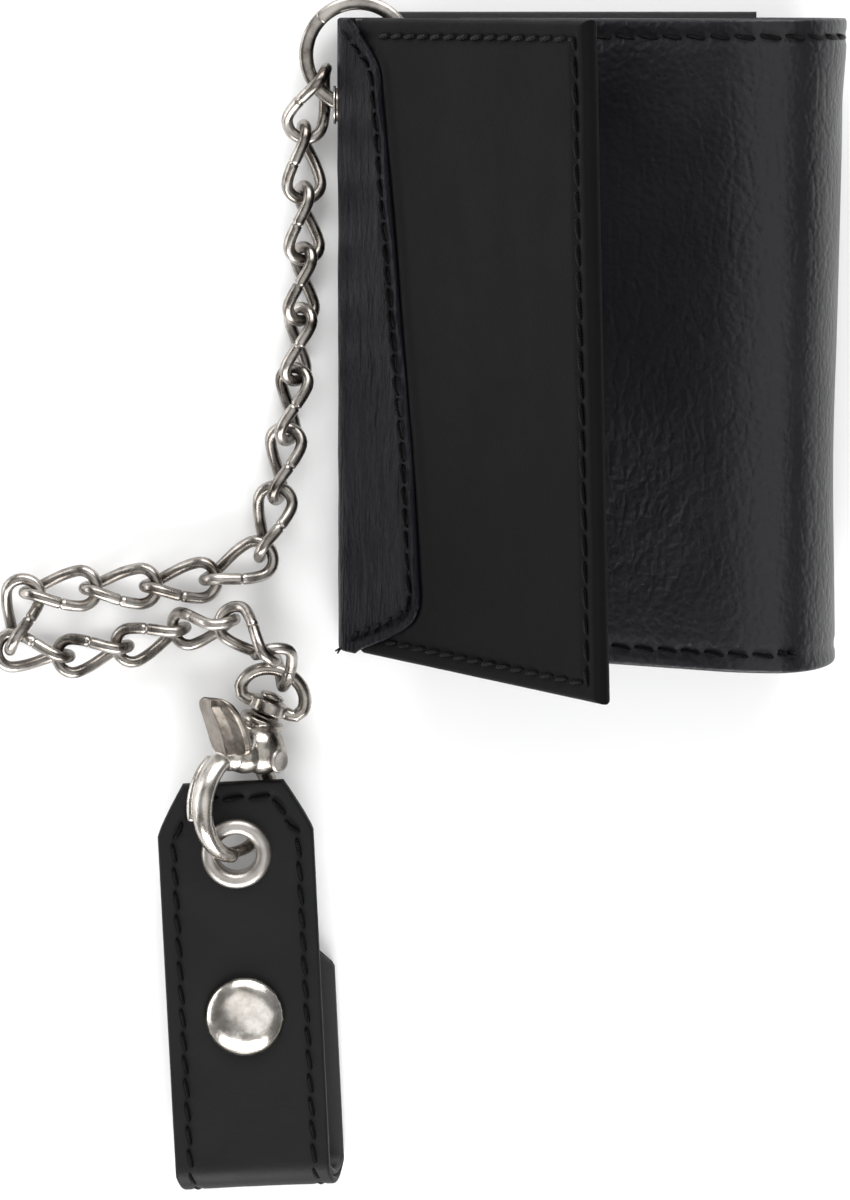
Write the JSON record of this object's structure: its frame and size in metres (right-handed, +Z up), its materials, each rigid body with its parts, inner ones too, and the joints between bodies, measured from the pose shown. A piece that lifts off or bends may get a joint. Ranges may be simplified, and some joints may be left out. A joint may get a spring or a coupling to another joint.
{
  "type": "chain wallet",
  "caption": "Trifold leather wallet with its flap standing open, joined by a split ring, a curb chain and a swivel clasp to a snap-closed belt fob.",
  "frame": {"origin": "centre of the wallet's back face, on the surface that the wallet lies on", "axes": "+Z up from the back face, +Y to the wallet's top edge, +X from the flap's fold to the right fold"},
  "size_m": [0.1457, 0.208, 0.0723],
  "materials": {
    "grain_leather": "black pebbled leather with a soft sheen and fine creases",
    "smooth_leather": "charcoal black smooth leather, matte",
    "lining": "thin matte black lining leather",
    "clear_plastic": "thin clear film",
    "antique_nickel": "antique nickel, darker in its hollows",
    "polished_nickel": "polished antique nickel"
  },
  "bodies": {
    "wallet_body": {"back_panel": "grain_leather", "bill_divider": "lining", "centre_pocket_1": "lining", "centre_pocket_2": "lining", "centre_pocket_3": "lining", "left_fold": "grain_leather", "right_fold": "grain_leather", "eyelet": "antique_nickel"},
    "flap": {"flap_outer": "smooth_leather", "flap_tab": "grain_leather", "flap_lining": "lining", "id_window_frame": "lining", "id_window": "clear_plastic"},
    "right_panel": {"right_outer": "grain_leather", "right_lining": "lining", "right_pocket_1": "lining", "right_pocket_2": "lining"},
    "split_ring": {"split_ring": "antique_nickel"},
    "chain_link_01": {"chain_link_01": "antique_nickel"},
    "chain_link_02": {"chain_link_02": "antique_nickel"},
    "chain_link_03": {"chain_link_03": "antique_nickel"},
    "chain_link_04": {"chain_link_04": "antique_nickel"},
    "chain_link_05": {"chain_link_05": "antique_nickel"},
    "chain_link_06": {"chain_link_06": "antique_nickel"},
    "chain_link_07": {"chain_link_07": "antique_nickel"},
    "chain_link_08": {"chain_link_08": "antique_nickel"},
    "chain_link_09": {"chain_link_09": "antique_nickel"},
    "chain_link_10": {"chain_link_10": "antique_nickel"},
    "chain_link_11": {"chain_link_11": "antique_nickel"},
    "chain_link_12": {"chain_link_12": "antique_nickel"},
    "chain_link_13": {"chain_link_13": "antique_nickel"},
    "chain_link_14": {"chain_link_14": "antique_nickel"},
    "chain_link_15": {"chain_link_15": "antique_nickel"},
    "chain_link_16": {"chain_link_16": "antique_nickel"},
    "chain_link_17": {"chain_link_17": "antique_nickel"},
    "chain_link_18": {"chain_link_18": "antique_nickel"},
    "chain_link_19": {"chain_link_19": "antique_nickel"},
    "swivel_eye": {"swivel_eye": "antique_nickel"},
    "clasp": {"clasp_body": "antique_nickel", "gate_pin": "antique_nickel", "gate_spring": "antique_nickel"},
    "clasp_gate": {"clasp_gate": "antique_nickel"},
    "fob_front": {"fob_front": "smooth_leather", "fob_lining": "lining", "fob_bend": "smooth_leather", "grommet": "antique_nickel", "snap_cap": "polished_nickel", "snap_rivet": "antique_nickel", "snap_socket": "antique_nickel"},
    "fob_back": {"fob_back": "smooth_leather", "snap_stud": "antique_nickel"}
  },
  "joints": [
    {"name": "flap_fold", "type": "hinge", "parent": "wallet_body", "child": "flap", "pos_m": [-0.0345, 0, 0.008], "axis": [0, -1, 0], "range_deg": [-31, 62], "deforming": ["left_fold"]},
    {"name": "right_panel_fold", "type": "hinge", "parent": "wallet_body", "child": "right_panel", "pos_m": [0.0305, 0, 0.019], "axis": [0, 1, 0], "range_deg": [0, 14], "deforming": ["right_fold"]},
    {"name": "split_ring_swing", "type": "hinge", "parent": "wallet_body", "child": "split_ring", "pos_m": [-0.0415, 0.03926, 0.0056], "axis": [0, 0, 1], "range_deg": [-4, 4]},
    {"name": "chain_link_01_swing", "type": "hinge", "parent": "split_ring", "child": "chain_link_01", "pos_m": [-0.0458, 0.042, 0.0055], "axis": [0, 0, 1], "range_deg": [-8, 3]},
    {"name": "chain_link_02_swing", "type": "hinge", "parent": "chain_link_01", "child": "chain_link_02", "pos_m": [-0.04915, 0.0337, 0.00456], "axis": [0, 0, -1], "range_deg": [-2.5, 8]},
    {"name": "chain_link_03_swing", "type": "hinge", "parent": "chain_link_02", "child": "chain_link_03", "pos_m": [-0.04829, 0.02313, 0.00456], "axis": [0, 0, 1], "range_deg": [-8, 3.5]},
    {"name": "chain_link_04_swing", "type": "hinge", "parent": "chain_link_03", "child": "chain_link_04", "pos_m": [-0.04829, 0.01273, 0.00456], "axis": [0, 0, -1], "range_deg": [-5, 8]},
    {"name": "chain_link_05_swing", "type": "hinge", "parent": "chain_link_04", "child": "chain_link_05", "pos_m": [-0.04896, 0.00235, 0.00456], "axis": [0, 0, 1], "range_deg": [-8, 6.5]},
    {"name": "chain_link_06_swing", "type": "hinge", "parent": "chain_link_05", "child": "chain_link_06", "pos_m": [-0.05004, -0.00799, 0.00456], "axis": [0, 0, -1], "range_deg": [-8, 8]},
    {"name": "chain_link_07_swing", "type": "hinge", "parent": "chain_link_06", "child": "chain_link_07", "pos_m": [-0.05149, -0.01829, 0.00456], "axis": [0, 0, 1], "range_deg": [-8, 8]},
    {"name": "chain_link_08_swing", "type": "hinge", "parent": "chain_link_07", "child": "chain_link_08", "pos_m": [-0.0533, -0.02853, 0.00456], "axis": [0, 0, -1], "range_deg": [-8, 8]},
    {"name": "chain_link_09_swing", "type": "hinge", "parent": "chain_link_08", "child": "chain_link_09", "pos_m": [-0.05616, -0.03853, 0.00456], "axis": [0, 0, 1], "range_deg": [-8, 8]},
    {"name": "chain_link_10_swing", "type": "hinge", "parent": "chain_link_09", "child": "chain_link_10", "pos_m": [-0.06581, -0.04243, 0.00456], "axis": [0, 0, -1], "range_deg": [-8, 8]},
    {"name": "chain_link_11_swing", "type": "hinge", "parent": "chain_link_10", "child": "chain_link_11", "pos_m": [-0.07615, -0.04351, 0.00456], "axis": [0, 0, 1], "range_deg": [-8, 6]},
    {"name": "chain_link_12_swing", "type": "hinge", "parent": "chain_link_11", "child": "chain_link_12", "pos_m": [-0.08654, -0.04388, 0.00456], "axis": [0, 0, -1], "range_deg": [-4, 8]},
    {"name": "chain_link_13_swing", "type": "hinge", "parent": "chain_link_12", "child": "chain_link_13", "pos_m": [-0.09692, -0.0446, 0.00456], "axis": [0, 0, 1], "range_deg": [-8, 1.5]},
    {"name": "chain_link_14_swing", "type": "hinge", "parent": "chain_link_13", "child": "chain_link_14", "pos_m": [-0.09943, -0.05469, 0.00456], "axis": [0, 0, -1], "range_deg": [-1.5, 8]},
    {"name": "chain_link_15_swing", "type": "hinge", "parent": "chain_link_14", "child": "chain_link_15", "pos_m": [-0.08909, -0.05578, 0.00456], "axis": [0, 0, 1], "range_deg": [-8, 3]},
    {"name": "chain_link_16_swing", "type": "hinge", "parent": "chain_link_15", "child": "chain_link_16", "pos_m": [-0.07885, -0.05397, 0.00456], "axis": [0, 0, -1], "range_deg": [-5.5, 8]},
    {"name": "chain_link_17_swing", "type": "hinge", "parent": "chain_link_16", "child": "chain_link_17", "pos_m": [-0.06896, -0.05076, 0.00456], "axis": [0, 0, 1], "range_deg": [-8, 8]},
    {"name": "chain_link_18_swing", "type": "hinge", "parent": "chain_link_17", "child": "chain_link_18", "pos_m": [-0.06074, -0.04871, 0.01129], "axis": [0, 0, -1], "range_deg": [-8, 3]},
    {"name": "chain_link_19_swing", "type": "hinge", "parent": "chain_link_18", "child": "chain_link_19", "pos_m": [-0.05344, -0.05529, 0.01483], "axis": [0, 0, 1], "range_deg": [-8, 8]},
    {"name": "eye_swing", "type": "hinge", "parent": "chain_link_19", "child": "swivel_eye", "pos_m": [-0.05271, -0.05944, 0.00297], "axis": [0, 0, 1], "range_deg": [-6, 10]},
    {"name": "swivel_turn", "type": "hinge", "parent": "swivel_eye", "child": "clasp", "pos_m": [-0.05663, -0.06901, 0.0056], "axis": [0.3795, 0.9252, 0], "continuous": true},
    {"name": "gate_open", "type": "hinge", "parent": "clasp", "child": "clasp_gate", "pos_m": [-0.0592, -0.07211, 0.00742], "axis": [-0.766, 0, -0.6428], "range_deg": [0, 22], "stiffness_Nm_per_rad": 0.02, "springref_deg": -17.19},
    {"name": "fob_swing", "type": "hinge", "parent": "clasp", "child": "fob_front", "pos_m": [-0.06023, -0.08951, 0.00865], "axis": [0, 0, 1], "range_deg": [-10, 7]},
    {"name": "fob_open", "type": "hinge", "parent": "fob_front", "child": "fob_back", "pos_m": [-0.05772, -0.14476, 0.0051], "axis": [-0.999, -0.0454, 0], "range_deg": [0, 150], "deforming": ["fob_bend"]}
  ]
}
